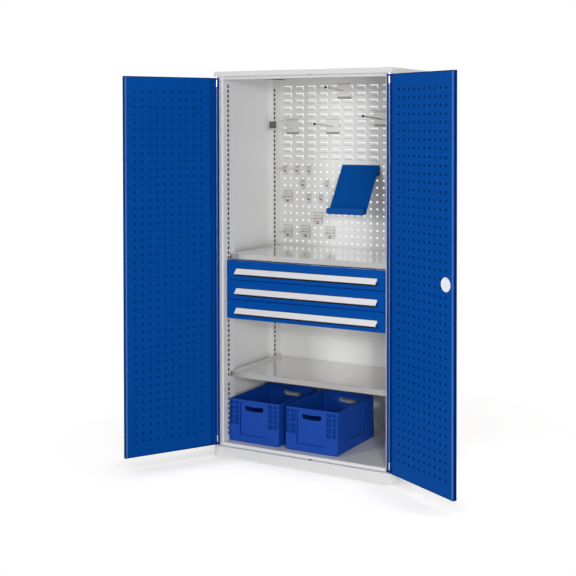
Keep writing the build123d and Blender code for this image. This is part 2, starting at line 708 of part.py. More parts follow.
save_in_door("lock_rod_upper", lock_rod(1))
save_in_door("lock_rod_lower", lock_rod(-1))
guides = []
for z in GUIDE_LEVELS:
    guide = block(LOCK_S - GUIDE_WIDTH / 2, LOCK_S + GUIDE_WIDTH / 2, skin_inner, panel_under,
                  z - GUIDE_HEIGHT / 2, z + GUIDE_HEIGHT / 2)
    guides.append(guide - rod((LOCK_S, ROD_O, z - GUIDE_HEIGHT), (LOCK_S, ROD_O, z + GUIDE_HEIGHT),
                              ROD_RADIUS + RUNNING))
save_in_door("rod_guides", *guides)


# Drawers: front, tray, grip and three-member runners on carriers
def rail_section(web_x, web_thickness, tip_x, half_height):
    """Channel section in x and z: a web and two flanges reaching to tip_x."""
    body = polygon(rectangle(web_x, web_x + web_thickness, -half_height, half_height))
    for z in (-half_height, half_height - RAIL_SHEET):
        body += polygon(rectangle(min(web_x, tip_x), max(web_x + web_thickness, tip_x), z, z + RAIL_SHEET))
    return body.faces()[0]


carrier_x = front_post_x - SHEET
outer_web = carrier_x - RAIL_SHEET
inner_web = TRAY_HALF_WIDTH
middle_half = RAIL_HALF_HEIGHT - RAIL_SHEET - RAIL_PLAY
inner_half = middle_half - RAIL_SHEET - RAIL_PLAY
middle_web = (outer_web + inner_web + RAIL_SHEET) / 2
outer_section = rail_section(outer_web, RAIL_SHEET, inner_web + 2 * RAIL_SHEET, RAIL_HALF_HEIGHT)
middle_section = rail_section(middle_web, RAIL_SHEET, middle_web - 2 * RAIL_SHEET, middle_half)
inner_section = rail_section(inner_web, RAIL_SHEET, middle_web - RAIL_PLAY, inner_half)
tray_front = DRAWER_FRONT + DRAWER_FRONT_DEPTH
cabinet_rails = []
for number, name in enumerate(("upper", "middle", "lower")):
    top = DRAWER_TOP - DRAWER_PITCH * number
    bottom = top - DRAWER_FRONT_HEIGHT
    x = DRAWER_HALF_WIDTH
    front = block(-x, x, DRAWER_FRONT, tray_front, bottom, top)
    front -= block(-x + SHEET, x - SHEET, DRAWER_FRONT + SHEET, tray_front,
                   bottom + SHEET, top - SHEET)
    front = fillet(front.edges().filter_by(Axis.X).group_by(Axis.Y)[0], SHEET)
    save(f"drawer_{name}_front", front)

    x = TRAY_HALF_WIDTH
    z0 = bottom + TRAY_RISE
    z1 = z0 + TRAY_HEIGHT
    tray = block(-x, x, tray_front, DRAWER_REAR, z0, z1)
    tray -= block(-x + SHEET, x - SHEET, tray_front + SHEET, DRAWER_REAR - SHEET, z0 + SHEET, z1)
    flange = block(-x, x, tray_front - SHEET, tray_front, bottom + SHEET, top - SHEET)
    save(f"drawer_{name}_tray", tray + flange)

    grip_z = top - GRIP_BELOW_TOP
    grip_y = DRAWER_FRONT - GRIP_REACH
    grip_low = grip_z - GRIP_FALL
    grip_path = [(DRAWER_FRONT, grip_z - GRIP_FLANGE), (DRAWER_FRONT, grip_z), (grip_y, grip_low)]
    grip_path += [(grip_y + back, grip_low + rise) for back, rise in GRIP_HEM]
    save(f"drawer_{name}_grip", along_x(folded(grip_path, GRIP_SHEET, 0),
                                        -GRIP_HALF_LENGTH, GRIP_HALF_LENGTH))

    level = Pos(0, 0, bottom + RAIL_RISE)
    rail_rear = DRAWER_REAR - RAIL_SHEET
    save(f"drawer_{name}_inner_rails",
         *both_sides(level * along_y(inner_section, tray_front, rail_rear)))
    save(f"drawer_{name}_middle_rails",
         *both_sides(level * along_y(middle_section, RAIL_FRONT, rail_rear)))
    cabinet_rails += both_sides(level * along_y(outer_section, RAIL_FRONT, DRAWER_REAR))
save("cabinet_rails", *cabinet_rails)
carrier = block(carrier_x, front_post_x, RAIL_FRONT, DRAWER_REAR, CARRIER_BOTTOM, CARRIER_TOP)
carrier += block(front_post_x, rear_post_x, rear_post_front + CARRIER_WING, DRAWER_REAR,
                 CARRIER_BOTTOM, CARRIER_TOP)
save("drawer_carriers", *both_sides(carrier))


# Open stacking boxes with ribs, recessed panels and hand holes
def box_outline(size, z, inset, corner):
    """Rounded rectangle of one level of the box, at height z."""
    width = size[0] - 2 * inset
    depth = size[1] - 2 * inset
    return Pos(0, 0, z) * RectangleRounded(width, depth, corner)


def level_size(z):
    """Outer size of the box at a height, between bottom and top."""
    share = z / BOX_HEIGHT
    return [b + (t - b) * share for b, t in zip(BOX_BOTTOM_SIZE, BOX_TOP_SIZE)]


def stacking_box():
    """One box round its own centre, standing on z = 0; its end walls lean back."""
    inner_corner = BOX_CORNER - BOX_WALL / 2
    body = loft([box_outline(BOX_BOTTOM_SIZE, 0, 0, BOX_CORNER),
                 box_outline(BOX_TOP_SIZE, BOX_HEIGHT, 0, BOX_CORNER)])
    body = fillet(body.edges().group_by(Axis.Z)[0], BOX_FOOT_ROUNDING)
    body -= loft([box_outline(level_size(BOX_FLOOR), BOX_FLOOR, BOX_WALL, inner_corner),
                  box_outline(BOX_TOP_SIZE, BOX_HEIGHT, BOX_WALL, inner_corner)])
    half_x = BOX_BOTTOM_SIZE[0] / 2
    half_y = BOX_BOTTOM_SIZE[1] / 2
    lean = degrees(atan2((BOX_BOTTOM_SIZE[1] - BOX_TOP_SIZE[1]) / 2, BOX_HEIGHT))
    pivot = Pos(0, -half_y, 0)
    end_windows = [END_RECESS]
    side_windows = [SIDE_RECESS]
    for z0, z1 in POCKET_LEVELS:
        for x0, x1 in END_POCKETS:
            end_windows += [(x0, x1, z0, z1), (-x1, -x0, z0, z1)]
    for y0, y1 in SIDE_POCKETS:
        side_windows.append((y0, y1, POCKET_LEVELS[0][0], RECESS_TOP))
    cutters = []
    for x0, x1, z0, z1 in end_windows:
        cutter = block(x0, x1, -half_y - POCKET_DEPTH, -half_y + POCKET_DEPTH, z0, z1)
        leaning = pivot * Rot(-lean, 0, 0) * pivot.inverse() * cutter
        cutters += [leaning, mirror(leaning, about=Plane.XZ)]
    for y0, y1, z0, z1 in side_windows:
        cutters += both_sides(block(half_x - POCKET_DEPTH, half_x + POCKET_DEPTH, y0, y1, z0, z1))
    notch_depth, notch_length = CORNER_NOTCH
    for y in (-half_y, half_y - notch_length):
        cutters += both_sides(block(half_x - notch_depth, half_x + MARGIN, y, y + notch_length,
                                    POCKET_LEVELS[0][0], RECESS_TOP))
    body -= cutters
    width, height = HAND_HOLE
    middle = BOX_HEIGHT - HAND_HOLE_DROP
    low = middle - height / 2
    high = middle + height / 2
    hole = rounded_face([(-width / 2, low + HAND_HOLE_SAG), (0, low), (width / 2, low + HAND_HOLE_SAG),
                         (width / 2, high), (0, high - HAND_HOLE_SAG), (-width / 2, high)],
                        HAND_HOLE_RADII)
    return body - along_y(hole, -BOX_BOTTOM_SIZE[1], BOX_BOTTOM_SIZE[1])


box = stacking_box()
for node, centre in BOX_CENTRES.items():
    save(node, Pos(centre, BOX_FRONT + BOX_BOTTOM_SIZE[1] / 2, FLOOR_TOP + BOX_LIFT) * box)


# Holders hooked into the louvres
holder_back = BACK_FACE - LOUVRE_STAND
holder_face = holder_back - HOLDER_SHEET


def louvre_plate(x0, x1, z0, z1):
    """Plate of a holder with the foot that rests on the panel and the straps over the tongues."""
    path = [(BACK_FACE - FOOT_GAP, z0), (holder_back, z0 + HOLDER_FOOT), (holder_back, z1)]
    plate = along_x(folded(path, HOLDER_SHEET, LOUVRE_BEND), x0, x1)
    row = min(r for r in range(LOUVRE_ROWS) if LOUVRE_TOP_ROW - SHEET_PITCH * r < z1)
    rest = LOUVRE_TOP_ROW - SHEET_PITCH * row - LOUVRE_SLIT
    for column in range(LOUVRE_COLUMNS):
        end = LOUVRE_FIRST_END + 2 * SHEET_PITCH * column
        left = max(x0, end - LOUVRE_WIDTH)
        right = min(x1, end)
        if right - left < STRAP_ROOM:
            continue
        centre = (left + right) / 2
        plate += block(centre - STRAP_WIDTH / 2, centre + STRAP_WIDTH / 2,
                       holder_face, holder_back + STRAP_REACH, rest, rest + HOLDER_SHEET)
    return plate


holder_plates, holder_rods, holder_tips = [], [], []
for name, (x0, x1, z0, z1) in HOLDER_PLATES.items():
    centre = (x0 + x1) / 2
    tip_y, tip_z = PIN_TIPS[name]
    root = (centre, holder_back - HOLDER_SHEET / 2, (z0 + z1) / 2)
    tip = (centre, tip_y, tip_z)
    plate = louvre_plate(x0, x1, z0, z1)
    pin = rod(root, tip, PIN_RODS[name])
    ball = Pos(*tip) * Sphere(TIP_RADIUS)
    holder_plates.append(plate)
    holder_rods.append(pin - plate - ball)
    holder_tips.append(ball)
save("pin_holder_plates", *holder_plates)
save("pin_holder_rods", *holder_rods)
save("pin_holder_tips", *holder_tips)

clamp_plate = louvre_plate(*CLAMP_PLATE)
pad_x, pad_y, pad_z = CLAMP_PAD_PLACE
pad_width, pad_height, pad_thickness = CLAMP_PAD
pad = block(pad_x - pad_width / 2, pad_x + pad_width / 2, pad_y, pad_y + pad_thickness,
            pad_z - pad_height / 2, pad_z + pad_height / 2)
clamp_arms = []
root_spread, knee_spread, end_spread = CLAMP_SPREAD
for up in (-1, 1):
    root = (pad_x, holder_face + HOLDER_SHEET / 2, pad_z + up * root_spread)
    knee = (pad_x, (holder_face + pad_y) / 2, pad_z + up * knee_spread)
    end = (pad_x, pad_y + pad_thickness / 2, pad_z + up * end_spread)
    arm = rod(root, knee, CLAMP_ARM_RADIUS) + Pos(*knee) * Sphere(CLAMP_ARM_RADIUS)
    arm += rod(knee, end, CLAMP_ARM_RADIUS)
    clamp_arms.append(arm - clamp_plate - pad)
save("clamp_holder", clamp_plate, *clamp_arms)
save("clamp_pad", pad)


# Holders on the perforated panel
def panel_place(column, row):
    """Centre of the lower of the two hole rows that a holder covers."""
    return first_hole + SHEET_PITCH * column, HOLE_TOP_ROW - SHEET_PITCH * (row + 1)


def peg(x, z):
    """Peg through a hole of the panel."""
    return block(x - PEG / 2, x + PEG / 2, BACK_FACE, BACK_FACE + PEG_LENGTH, z - PEG / 2, z + PEG / 2)


def bar(x, front, z, reach):
    """Bar that stands forward from a plate, with a rounded tip."""
    tip = (x, BACK_FACE - reach, z)
    return rod((x, front + MARGIN, z - MARGIN), tip, HOOK_ROD_RADIUS) + Pos(*tip) * Sphere(HOOK_ROD_RADIUS)


def hook(column, row, reach):
    """Small plate with one bar."""
    x, z = panel_place(column, row)
    width, height, thickness = HOOK_PLATE
    front = BACK_FACE - thickness
    body = block(x - width / 2, x + width / 2, front, BACK_FACE, z - HOOK_RISE, z + height - HOOK_RISE)
    return body + bar(x, front, z + HOOK_RISE, reach) + peg(x, z)


def wide_holder(column, row):
    """Wide plate over two hole columns with three round bars across it and one bar forward."""
    x, z = panel_place(column, row)
    middle = x + SHEET_PITCH / 2
    width, height, thickness = WIDE_PLATE
    left = middle - width / 2
    right = middle + width / 2
    front = BACK_FACE - thickness
    body = block(left, right, front, BACK_FACE, z - WIDE_DROP, z - WIDE_DROP + height)
    for rise in WIDE_BARS:
        body += rod((left, front, z + rise), (right, front, z + rise), WIDE_BAR_RADIUS)
    body -= block(left, right, BACK_FACE, BACK_FACE + thickness, z - height, z + height)
    body += bar(middle + WIDE_TIP_SHIFT, front, z + WIDE_TIP_RISE, WIDE_REACH)
    return body + peg(x, z) + peg(x + SHEET_PITCH, z)


def lock_clip(x, z, front):
    """Small coloured clip below the bar."""
    width, height, thickness = LOCK_CLIP
    return block(x - width / 2, x + width / 2, front - thickness, front, z - height / 2, z + height / 2)


hooks, wide_holders, lock_clips = [], [], []
for places, reach in ((LONG_HOOKS, LONG_REACH), (SHORT_HOOKS, SHORT_REACH)):
    for column, row in places:
        x, z = panel_place(column, row)
        hooks.append(hook(column, row, reach))
        lock_clips.append(lock_clip(x, z + HOOK_CLIP_RISE, BACK_FACE - HOOK_PLATE[2]))
for column, row in WIDE_HOLDERS:
    x, z = panel_place(column, row)
    wide_holders.append(wide_holder(column, row))
    lock_clips.append(lock_clip(x + SHEET_PITCH / 2, z - WIDE_CLIP_DROP, BACK_FACE - WIDE_PLATE[2]))
save("tool_hooks", *hooks)
save("wide_holders", *wide_holders)
save("lock_clips", *lock_clips)

# Sloping document tray: rear flange, plate, ledge and lip in one sheet, with two ears
tray_path = [
    (BACK_FACE, TRAY_TOP - TRAY_FOLD),
    (BACK_FACE, TRAY_TOP),
    (BACK_FACE - TRAY_STAND, TRAY_TOP),
    TRAY_LOW,
    (TRAY_LIP_Y, TRAY_LOW[1] - TRAY_LEDGE_FALL),
    (TRAY_LIP_Y, TRAY_LIP_TOP),
]
tray_bends = [0, TRAY_BEND, TRAY_BEND, TRAY_BEND, TRAY_LIP_BEND, 0]
document_tray = along_x(folded(tray_path, TRAY_SHEET, tray_bends), TRAY_LEFT, TRAY_RIGHT)
lip_corners = document_tray.edges().filter_by(Axis.Y).group_by(Axis.Y)[0]
document_tray = fillet(lip_corners, TRAY_CORNER)
lip_bottom = document_tray.bounding_box().min.Z
for end, inward in ((TRAY_LEFT, 1), (TRAY_RIGHT, -1)):
    turn = end + inward * TRAY_CORNER
    corner = block(min(end, turn), max(end, turn), TRAY_LIP_Y - MARGIN, TRAY_LOW[0] - MARGIN,
                   lip_bottom - MARGIN, lip_bottom + TRAY_CORNER)
    corner -= rod((turn, TRAY_LIP_Y - MARGIN, lip_bottom + TRAY_CORNER),
                  (turn, TRAY_LOW[0] - MARGIN, lip_bottom + TRAY_CORNER), TRAY_CORNER)
    document_tray -= corner
slope = (BACK_FACE - TRAY_STAND - TRAY_LOW[0]) / (TRAY_TOP - TRAY_LOW[1])
ear = polygon([(BACK_FACE, TRAY_TOP), (BACK_FACE - TRAY_STAND, TRAY_TOP),
               (BACK_FACE - TRAY_STAND - TRAY_EAR * slope, TRAY_TOP - TRAY_EAR),
               (BACK_FACE, TRAY_TOP - TRAY_EAR)])
document_tray += along_x(ear, TRAY_LEFT, TRAY_LEFT + TRAY_SHEET)
document_tray += along_x(ear, TRAY_RIGHT - TRAY_SHEET, TRAY_RIGHT)
for column in TRAY_PEG_COLUMNS:
    document_tray += peg(first_hole + SHEET_PITCH * column, HOLE_TOP_ROW)
save("document_tray", document_tray)
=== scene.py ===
# %% [markdown]
# # Hinged door cabinet
# The cabinet comes in as a finished frame: every sheet, pin and rail has its real place and size
# in metres, with z up, x to the right and y towards the back. This file only dresses it. It gives
# each surface a finish, adds the small pieces that the frame leaves out, adds dark and light strips
# of painted shade and painted highlight, and sets up a plain studio. The frame's own shapes are
# never moved, so whatever looks right here also works there.

import json
import math

import bmesh
import bpy
from mathutils import Matrix, Vector


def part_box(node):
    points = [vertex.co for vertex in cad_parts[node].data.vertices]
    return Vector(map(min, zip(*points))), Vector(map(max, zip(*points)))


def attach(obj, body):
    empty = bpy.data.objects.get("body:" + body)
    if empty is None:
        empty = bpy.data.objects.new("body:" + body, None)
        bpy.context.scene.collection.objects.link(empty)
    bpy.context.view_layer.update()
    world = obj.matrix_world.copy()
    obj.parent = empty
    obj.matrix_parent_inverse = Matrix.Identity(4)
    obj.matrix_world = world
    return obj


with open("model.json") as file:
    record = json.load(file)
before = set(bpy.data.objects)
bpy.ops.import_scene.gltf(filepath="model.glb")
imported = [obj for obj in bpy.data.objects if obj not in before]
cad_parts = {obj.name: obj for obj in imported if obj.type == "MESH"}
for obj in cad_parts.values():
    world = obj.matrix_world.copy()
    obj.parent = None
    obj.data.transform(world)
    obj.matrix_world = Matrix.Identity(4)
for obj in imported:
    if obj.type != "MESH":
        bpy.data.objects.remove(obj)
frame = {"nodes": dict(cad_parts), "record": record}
nodes = frame["nodes"]
scene = bpy.context.scene
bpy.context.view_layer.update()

# %% [markdown]
# ## A short way to write shader maths
# A finish is a small calculation: so much noise, times a weight, added to a base value. Wiring
# that by hand takes many lines, so one class wraps a socket and lets Python operators add the
# Math nodes. Colours and vectors need their own nodes, because a Math node keeps one number only.

# %% The socket wrapper
class Wire:
    """An output socket of a node tree that can be used in an expression."""

    def __init__(self, finish, socket):
        self.finish = finish
        self.socket = socket

    def maths(self, operation, first, second=None):
        values = {0: first} if second is None else {0: first, 1: second}
        return self.finish.node("ShaderNodeMath", {"operation": operation}, values).out()

    def __add__(self, other):
        return self.maths("ADD", self, other)

    __radd__ = __add__

    def __mul__(self, other):
        return self.maths("MULTIPLY", self, other)

    __rmul__ = __mul__

    def __sub__(self, other):
        return self.maths("SUBTRACT", self, other)

    def __rsub__(self, other):
        return self.maths("SUBTRACT", other, self)

    def __truediv__(self, other):
        return self.maths("DIVIDE", self, other)

    def __rtruediv__(self, other):
        return self.maths("DIVIDE", other, self)

    def __lt__(self, other):
        return self.maths("LESS_THAN", self, other)

    def larger(self, other):
        return self.maths("MAXIMUM", self, other)

    def clamped(self):
        return self.maths("MINIMUM", self.larger(0.0), 1.0)


class Placed:
    """A node of a finish; out() wraps one of its outputs."""

    def __init__(self, finish, node):
        self.finish = finish
        self.node = node

    def out(self, name=0):
        return Wire(self.finish, self.node.outputs[name])


class Shading:
    """A node tree under construction, of a material or of the sky."""

    def __init__(self, tree, output):
        self.tree = tree
        self.tree.nodes.clear()
        self.surface = self.node(output)

    def node(self, kind, settings=None, sockets=None):
        """Adds any node: settings first, then the values or links of its sockets."""
        made = self.tree.nodes.new(kind)
        for name, value in (settings or {}).items():
            setattr(made, name, value)
        for name, value in (sockets or {}).items():
            self.feed(made, name, value)
        return Placed(self, made)

    def feed(self, made, name, value):
        """Sets one socket to a number, a colour or the output of another node."""
        if isinstance(value, Wire):
            self.tree.links.new(value.socket, made.inputs[name])
            return
        socket = made.inputs[name]
        if socket.type == "RGBA" and len(value) == 3:
            value = (*value, 1.0)
        socket.default_value = value

    def show(self, placed):
        """Sends a shader to the surface."""
        self.tree.links.new(placed.node.outputs[0], self.surface.node.inputs[0])


class Finish(Shading):
    """A material under construction, with one Principled shader."""

    def __init__(self, name):
        self.material = bpy.data.materials.new(name)
        self.material.use_nodes = True
        super().__init__(self.material.node_tree, "ShaderNodeOutputMaterial")
        self.shader = self.node("ShaderNodeBsdfPrincipled")
        self.show(self.shader)

    def set(self, **values):
        """Sets sockets of the shader; underscores stand for spaces."""
        for name, value in values.items():
            self.feed(self.shader.node, name.replace("_", " "), value)

    def place(self, stretch=(1.0, 1.0, 1.0)):
        """Position on the object in metres, stretched along its axes."""
        spot = self.node("ShaderNodeTexCoord").out("Object")
        return self.node("ShaderNodeMapping", {}, {"Vector": spot, "Scale": stretch}).out()

    def noise(self, scale, detail=2.0, rough=0.5, stretch=(1.0, 1.0, 1.0)):
        """Soft noise from 0 to 1 with about `scale` lumps to the metre."""
        sockets = {"Vector": self.place(stretch), "Scale": scale, "Detail": detail,
                   "Roughness": rough}
        return self.node("ShaderNodeTexNoise", {}, sockets).out(0)

    def mix(self, share, first, second):
        """One colour blended into another."""
        sockets = {0: share, 6: first, 7: second}
        return self.node("ShaderNodeMix", {"data_type": "RGBA"}, sockets).out(2)

    def bump(self, height, strength, distance):
        """Normals of a surface with that height."""
        sockets = {"Height": height, "Strength": strength, "Distance": distance}
        return self.node("ShaderNodeBump", {}, sockets).out(0)


def shade(colour, factor):
    """A colour made darker or lighter, kept inside the range of a paint."""
    return tuple(min(max(part * factor, 0.0), 1.0) for part in colour)


print("shader helper ready")

# %% [markdown]
# ## Powder coat
# The sheets are powder coated. Baked powder is never quite flat: it has a fine orange peel of
# about a millimetre, and its gloss changes a little where hands and dusters have passed. A paint
# could be one flat colour, but then large doors look like cut paper, so the finish mixes a broad
# cloud of slightly darker paint with a fine peel in the bump.

# %% Powder coat
def powder_coat(name, colour, roughness, gloss=0.4, peel=0.10, cloud=0.03):
    """Baked powder on sheet steel; peel is the bump, cloud the drift of the colour."""
    finish = Finish(name)
    drift = finish.noise(2.2, 3.0, 0.55)
    rub = finish.noise(17.0, 4.0, 0.6, (1.0, 1.0, 0.35))
    speck = finish.noise(900.0, 1.0, 0.5)
    blend = drift * 0.7 + speck * 0.3
    paint = finish.mix(blend, shade(colour, 1 - cloud), shade(colour, 1 + cloud))
    worn = roughness + (rub - 0.5) * 0.14 + (drift - 0.5) * 0.06
    grain = finish.noise(760.0, 2.0, 0.5) + finish.noise(160.0, 1.0, 0.4) * 0.8
    finish.set(Base_Color=paint, Roughness=worn, Normal=finish.bump(grain, peel, 0.0006))
    finish.set(Specular_IOR_Level=gloss)
    return finish.material


GREY = (0.74, 0.74, 0.735)
BLUE = (0.0, 0.065, 0.325)
grey_coat = powder_coat("grey_powder_coat", GREY, 0.60, 0.05)
# The cap and the top rail get darker copies of the grey coat: painted shade.
cap_painted_shade_coat = powder_coat("cap_coat_painted_shade", shade(GREY, 0.90), 0.60, 0.05)
rail_painted_shade_coat = powder_coat("rail_coat_painted_shade", shade(GREY, 0.78), 0.60, 0.05)
blue_coat = powder_coat("blue_powder_coat", BLUE, 0.42, 0.03)
# Hinge tubes: a glossier coat, in a lighter blue that is a painted highlight.
tube_gloss_highlight_coat = powder_coat("tube_coat_painted_highlight", (0.012, 0.080, 0.36), 0.22, 0.60)
# Light blue strips along the door folds: painted highlight.
fold_painted_highlight_coat = powder_coat("fold_painted_highlight", (0.050, 0.155, 0.46), 0.35, 0.15)
# Dark navy strips along the door rims, end faces and hinge seams: painted shade.
navy_painted_shade_coat = powder_coat("navy_painted_shade", (0.0, 0.018, 0.125), 0.50, 0.0)
tray_coat = powder_coat("tray_powder_coat", (0.0, 0.066, 0.30), 0.40, 0.06)
print("powder coats", [round(part, 3) for part in BLUE])

# %% [markdown]
# ## Galvanised sheet and zinc plate
# The shelves are bright galvanised sheet, rolled smooth enough to mirror the wall behind them in
# long upright smears. Plated pins and runners are finer and more even. Both are metals under a
# thin cloudy skin, so they take most of their brightness from what they reflect; a Voronoi
# texture gives the faint crystals, and stretched noise gives the marks of the rolls.

# %% Zinc surfaces
def galvanised(name, colour, roughness, metal, fold, front_shade):
    """Bright zinc sheet with crystals and rolling marks; in front of y = fold, painted shade makes
    it darker.
    """
    finish = Finish(name)
    cells = finish.node("ShaderNodeTexVoronoi", {"feature": "F1"},
                        {"Vector": finish.place(), "Scale": 60.0, "Randomness": 1.0})
    facet = finish.node("ShaderNodeSeparateColor", {}, {0: cells.out("Color")}).out(0)
    rolled = finish.noise(26.0, 3.0, 0.6, (0.3, 9.0, 9.0))
    smear = finish.noise(4.0, 2.0, 0.5)
    tone = facet * 0.12 + rolled * 0.4 + smear * 0.48
    zinc_tone_and_front_shade = finish.mix(tone, shade(colour, 0.93), shade(colour, 1.07))
    depth = finish.node("ShaderNodeSeparateXYZ", {}, {0: finish.place()}).out(1)
    # painted shade: the shelf's front face, in front of y = fold, takes a darker colour
    zinc_tone_and_front_shade = finish.mix(depth < fold, zinc_tone_and_front_shade, shade(colour, front_shade))
    gloss = roughness + (smear - 0.5) * 0.08 + (rolled - 0.5) * 0.05
    finish.set(Base_Color=zinc_tone_and_front_shade, Metallic=metal, Roughness=gloss)
    finish.set(Normal=finish.bump(rolled, 0.02, 0.0004))
    return finish.material


def plated(name, colour, roughness, streak=(6.0, 6.0, 40.0), depth=0.05):
    """Zinc-plated steel, brushed by the way it was drawn or rolled."""
    finish = Finish(name)
    lines = finish.noise(60.0, 3.0, 0.6, streak)
    spots = finish.noise(240.0, 2.0, 0.5)
    stain = ((spots - 0.62) * 4.0).clamped()
    metal = finish.mix(lines, shade(colour, 0.85), shade(colour, 1.1))
    metal = finish.mix(stain * 0.3, metal, shade(colour, 0.6))
    gloss = roughness + (lines - 0.5) * 0.2 + stain * 0.1
    finish.set(Base_Color=metal, Metallic=1.0, Roughness=gloss)
    finish.set(Normal=finish.bump(lines, depth, 0.0004))
    return finish.material


shelf_zinc = galvanised("galvanised_sheet", (0.88, 0.875, 0.865), 0.115, 0.82, -0.2215, 0.56)
# The lower shelf: a darker copy of the same sheet, as painted shade, and a little rougher.
lower_shelf_painted_shade_zinc = galvanised("galvanised_sheet_painted_shade", (0.76, 0.75, 0.74), 0.18, 0.7, -0.2185, 0.52)
runner_zinc = plated("zinc_plated_runners", (0.60, 0.61, 0.62), 0.34, (40.0, 4.0, 40.0))
pin_zinc = plated("zinc_plated_pins", (0.70, 0.71, 0.74), 0.30, (60.0, 60.0, 4.0))
rod_zinc = plated("zinc_plated_rods", (0.30, 0.30, 0.30), 0.42)
lock_zinc = plated("zinc_plated_lock", (0.62, 0.63, 0.64), 0.38)
print("zinc finishes", 6)

# %% [markdown]
# ## Moulded plastic
# Boxes, clips and lock parts are moulded. The mould leaves a fine spark-eroded grain and faint
# flow clouds, and edges that rub against things turn a little paler. The grain goes into the bump,
# and the clouds go into colour and roughness.

# %% Moulded plastic
def moulded(name, colour, roughness, gloss=0.3, grain=420.0, depth=0.12, wear=0.0):
    """Moulded plastic with eroded grain; wear pales it in thin scuffs."""
    finish = Finish(name)
    flow = finish.noise(9.0, 3.0, 0.55)
    scuff = finish.noise(70.0, 4.0, 0.65, (1.0, 1.0, 5.0))
    paled = ((scuff - 0.60) * 5.0).clamped() * wear
    body = finish.mix(flow, shade(colour, 0.94), shade(colour, 1.06))
    body = finish.mix(paled, body, tuple(part * 0.7 + 0.12 for part in colour))
    worn = roughness + (flow - 0.5) * 0.10 + paled * 0.4
    skin = finish.noise(grain, 2.0, 0.6) + scuff * 0.3
    finish.set(Base_Color=body, Roughness=worn, Normal=finish.bump(skin, depth, 0.0005))
    finish.set(Specular_IOR_Level=gloss)
    return finish.material


box_blue = moulded("box_blue_plastic", (0.006, 0.060, 0.36), 0.42, 0.15, wear=0.06)
bright_rod = moulded("bright_rod_coat", (0.85, 0.84, 0.80), 0.5, 0.3, 300.0, 0.05)
white_cover = moulded("white_lock_cover", (0.83, 0.86, 0.90), 0.35, 0.3, 600.0, 0.05)
black_plastic = moulded("black_plastic", (0.014, 0.014, 0.015), 0.42, 0.3, 500.0)
pad_plastic = moulded("grey_pad_plastic", (0.13, 0.13, 0.13), 0.5, 0.3, 500.0)
guide_plastic = moulded("guide_plastic", (0.04, 0.04, 0.042), 0.45, 0.3, 500.0)
red_plastic = moulded("red_clip_plastic", (0.33, 0.14, 0.13), 0.40, 0.3, 600.0, 0.08)
white_grip = powder_coat("white_grip_coat", (0.88, 0.865, 0.855), 0.38, 0.3, 0.06, 0.01)
holder_coat = powder_coat("holder_powder_coat", (0.66, 0.655, 0.64), 0.42, 0.3, 0.08, 0.02)
hook_coat = powder_coat("hook_grey_coat", (0.68, 0.675, 0.665), 0.45, 0.15, 0.10, 0.03)
# Darker blue for the pocket floors and the recess edges of the boxes: painted shade.
pocket_painted_shade_blue = moulded("box_pocket_painted_shade", (0.004, 0.040, 0.25), 0.6, 0.05)
# Near-black for the post linings, slot rims, plate outlines and grip lines: painted shade.
shade_black = moulded("black_painted_shade", (0.016, 0.016, 0.016), 0.8, 0.05, 300.0)
# Dark grey for the creases and hems of the holder plates: painted shade.
line_shade_grey = moulded("grey_painted_shade", (0.17, 0.165, 0.16), 0.7, 0.1, 500.0)
# Pale grey for the feet of the louvre plates: painted shade.
foot_shade_grey = moulded("pale_painted_foot_shade", (0.36, 0.345, 0.33), 0.7, 0.1, 500.0)
print("plastics and light paints", 14)

# %% [markdown]
# ## Finishes on the frame's own nodes
# The frame's nodes already have the right shape, so they only change their finish. The record
# names a material slot for each node, and one table says which finish each slot gets. A second
# one names the nodes that look lighter or darker in the photo than the rest of their slot. For the
# cap, the top rail and the lower shelf that darker copy is painted shade, and the lighter blue of
# the hinge tubes is a painted highlight. A few nodes then get a small rounding on their edges,
# because a folded or moulded edge catches light.

# %% Dress the frame
FINISHES = {
    "grey_paint": grey_coat,
    "blue_paint": blue_coat,
    "tray_paint": tray_coat,
    "zinc_sheet": shelf_zinc,
    "drawer_sheet": grey_coat,
    "zinc_runner": runner_zinc,
    "zinc_pin": pin_zinc,
    "white_grip": white_grip,
    "white_cover": white_cover,
    "black_plastic": black_plastic,
    "lock_steel": lock_zinc,
    "guide_plastic": guide_plastic,
    "box_plastic": box_blue,
    "holder_paint": holder_coat,
    "pin_steel": rod_zinc,
    "tip_plastic": black_plastic,
    "hook_steel": hook_coat,
    "red_clip": red_plastic,
}
# Darker copies here are painted shade; the lighter blue of the hinge tubes is a painted highlight.
OWN_FINISH = {
    "clamp_pad": pad_plastic,
    "shelf_clips": grey_coat,
    "top_cap": cap_painted_shade_coat,
    "top_rail": rail_painted_shade_coat,
    "lock_rod_upper": bright_rod,
    "lower_shelf": lower_shelf_painted_shade_zinc,
    "door_left_hinge_tube": tube_gloss_highlight_coat,
    "door_right_hinge_tube": tube_gloss_highlight_coat,
}
ROUNDED = {
    "upper_shelf": 0.0011,
    "lower_shelf": 0.0011,
    "top_cap": 0.0010,
    "base_plinth": 0.0010,
    "box_left": 0.0007,
    "box_right": 0.0007,
}
for part in frame["record"]["subparts"]:
    node = nodes[part["node"]]
    node.data.materials.clear()
    node.data.materials.append(OWN_FINISH.get(part["node"], FINISHES[part["material_slot"]]))
for name, width in ROUNDED.items():
    rounding = nodes[name].modifiers.new("edge_rounding", "BEVEL")
    rounding.width = width
    rounding.segments = 2
    rounding.limit_method = "ANGLE"
    rounding.angle_limit = math.radians(50.0)
    rounding.harden_normals = True
print("dressed", len(nodes), "nodes,", len(ROUNDED), "with rounded edges")

# %% [markdown]
# ## A small mesh workshop
# The added pieces are turned, folded or pressed, and each of those needs only one kind of
# surface: a ring swept round an axis, or an outline pulled along an axis. Both could be made with
# Blender's own primitives and booleans, but building the faces here keeps them clean and exact.

